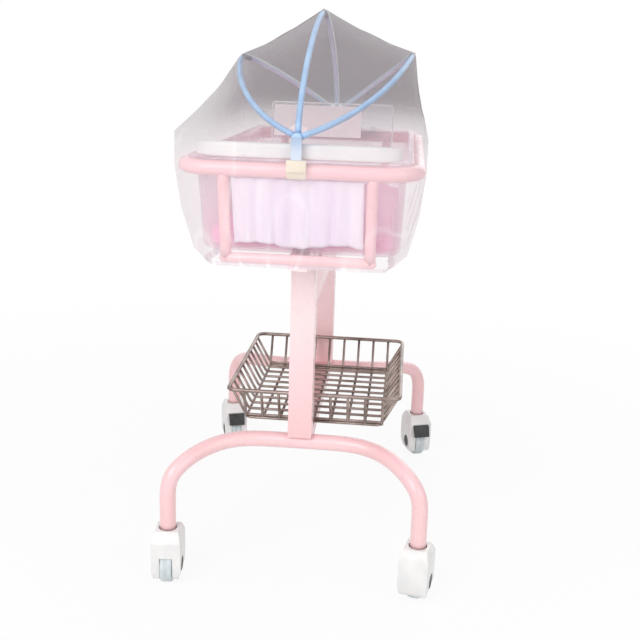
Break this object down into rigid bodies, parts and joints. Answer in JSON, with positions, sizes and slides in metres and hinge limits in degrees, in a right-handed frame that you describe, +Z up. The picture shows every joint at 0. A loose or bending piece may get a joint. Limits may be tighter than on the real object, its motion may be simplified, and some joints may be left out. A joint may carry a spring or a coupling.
{
  "type": "hospital bassinet",
  "caption": "Hospital bassinet: clear basin on a pink tubular trolley with swivel casters, wire basket and folding net canopy on bows.",
  "frame": {"origin": "on the floor under the middle of the trolley", "axes": "+X to the right seen from the foot end, +Y towards the head end, +Z up"},
  "size_m": [0.5798, 0.8956, 1.128],
  "materials": {
    "pink_paint": "gloss",
    "basket_wire": "polished",
    "steel": "satin",
    "white_plastic": "satin",
    "tread": "matte",
    "black_plastic": "matte",
    "clear_plastic": "clear",
    "pink_cloth": "woven",
    "lilac_cloth": "woven",
    "amber_plastic": "translucent",
    "blue_plastic": "satin",
    "net": "open mesh"
  },
  "bodies": {
    "frame": {"front_arch": "pink_paint", "rear_arch": "pink_paint", "front_column": "pink_paint", "rear_column": "pink_paint", "spine": "pink_paint", "upper_beam": "pink_paint", "front_end_rail": "pink_paint", "rear_end_rail": "pink_paint", "left_side_rail": "pink_paint", "right_side_rail": "pink_paint", "front_left_post": "pink_paint", "front_right_post": "pink_paint", "rear_left_post": "pink_paint", "rear_right_post": "pink_paint", "front_bottom_rail": "pink_paint", "rear_bottom_rail": "pink_paint", "basket_floor": "basket_wire", "basket_front_wall": "basket_wire", "basket_rear_wall": "basket_wire", "basket_left_wall": "basket_wire", "basket_right_wall": "basket_wire", "front_left_caster_stem": "steel", "front_right_caster_stem": "steel", "rear_left_caster_stem": "steel", "rear_right_caster_stem": "steel", "basin": "clear_plastic", "head_plate": "clear_plastic", "foot_bumper": "white_plastic", "mattress": "pink_cloth", "end_cloth": "lilac_cloth", "front_rail_clamp": "amber_plastic", "rear_rail_clamp": "amber_plastic", "front_pivot_hub": "blue_plastic", "rear_pivot_hub": "blue_plastic", "right_bow": "blue_plastic", "net_right_top": "net", "net_right_side": "net", "net_skirt": "net"},
    "front_left_swivel": {"front_left_caster_housing": "white_plastic", "front_left_axle": "black_plastic"},
    "front_left_wheel": {"front_left_wheel_core": "white_plastic", "front_left_tyre": "tread"},
    "front_right_swivel": {"front_right_caster_housing": "white_plastic", "front_right_axle": "black_plastic"},
    "front_right_wheel": {"front_right_wheel_core": "white_plastic", "front_right_tyre": "tread"},
    "rear_left_swivel": {"rear_left_caster_housing": "white_plastic", "rear_left_axle": "black_plastic"},
    "rear_left_wheel": {"rear_left_wheel_core": "white_plastic", "rear_left_tyre": "tread"},
    "rear_right_swivel": {"rear_right_caster_housing": "white_plastic", "rear_right_axle": "black_plastic"},
    "rear_right_wheel": {"rear_right_wheel_core": "white_plastic", "rear_right_tyre": "tread"},
    "rear_left_pedal": {"rear_left_brake_pedal": "black_plastic"},
    "rear_right_pedal": {"rear_right_brake_pedal": "black_plastic"},
    "left_canopy": {"left_bow": "blue_plastic", "net_left_side": "net"},
    "middle_canopy": {"middle_bow": "blue_plastic", "net_left_top": "net"}
  },
  "joints": [
    {"name": "front_left_swivel_turn", "type": "hinge", "parent": "frame", "child": "front_left_swivel", "pos_m": [-0.25, -0.366, 0.1], "axis": [0, 0, 1], "continuous": true},
    {"name": "front_left_wheel_spin", "type": "hinge", "parent": "front_left_swivel", "child": "front_left_wheel", "pos_m": [-0.24948, -0.37198, 0.0375], "axis": [-0.9962, -0.0872, 0], "continuous": true},
    {"name": "front_right_swivel_turn", "type": "hinge", "parent": "frame", "child": "front_right_swivel", "pos_m": [0.25, -0.366, 0.1], "axis": [0, 0, 1], "continuous": true},
    {"name": "front_right_wheel_spin", "type": "hinge", "parent": "front_right_swivel", "child": "front_right_wheel", "pos_m": [0.25135, -0.36015, 0.0375], "axis": [0.9744, -0.225, 0], "continuous": true},
    {"name": "rear_left_swivel_turn", "type": "hinge", "parent": "frame", "child": "rear_left_swivel", "pos_m": [-0.25, 0.366, 0.1], "axis": [0, 0, 1], "continuous": true},
    {"name": "rear_left_wheel_spin", "type": "hinge", "parent": "rear_left_swivel", "child": "rear_left_wheel", "pos_m": [-0.24795, 0.36036, 0.0375], "axis": [-0.9397, -0.342, 0], "continuous": true},
    {"name": "rear_right_swivel_turn", "type": "hinge", "parent": "frame", "child": "rear_right_swivel", "pos_m": [0.25, 0.366, 0.1], "axis": [0, 0, 1], "continuous": true},
    {"name": "rear_right_wheel_spin", "type": "hinge", "parent": "rear_right_swivel", "child": "rear_right_wheel", "pos_m": [0.25205, 0.36036, 0.0375], "axis": [-0.9397, -0.342, 0], "continuous": true},
    {"name": "rear_left_pedal_press", "type": "hinge", "parent": "rear_left_swivel", "child": "rear_left_pedal", "pos_m": [-0.23769, 0.33217, 0.088], "axis": [0.9397, 0.342, 0], "range_deg": [0, 12]},
    {"name": "rear_right_pedal_press", "type": "hinge", "parent": "rear_right_swivel", "child": "rear_right_pedal", "pos_m": [0.26231, 0.33217, 0.088], "axis": [0.9397, 0.342, 0], "range_deg": [0, 12]},
    {"name": "canopy_fold", "type": "hinge", "parent": "frame", "child": "left_canopy", "pos_m": [0, 0, 0.898], "axis": [0, 1, 0], "range_deg": [0, 86], "deforming": ["net_left_side", "net_left_top", "net_right_top"]},
    {"name": "middle_fold", "type": "hinge", "parent": "frame", "child": "middle_canopy", "pos_m": [0, 0, 0.898], "axis": [0, 1, 0], "range_deg": [0, 43]}
  ],
  "couplings": [
    {"joint": "middle_fold", "follows": "canopy_fold", "ratio": 0.5}
  ]
}
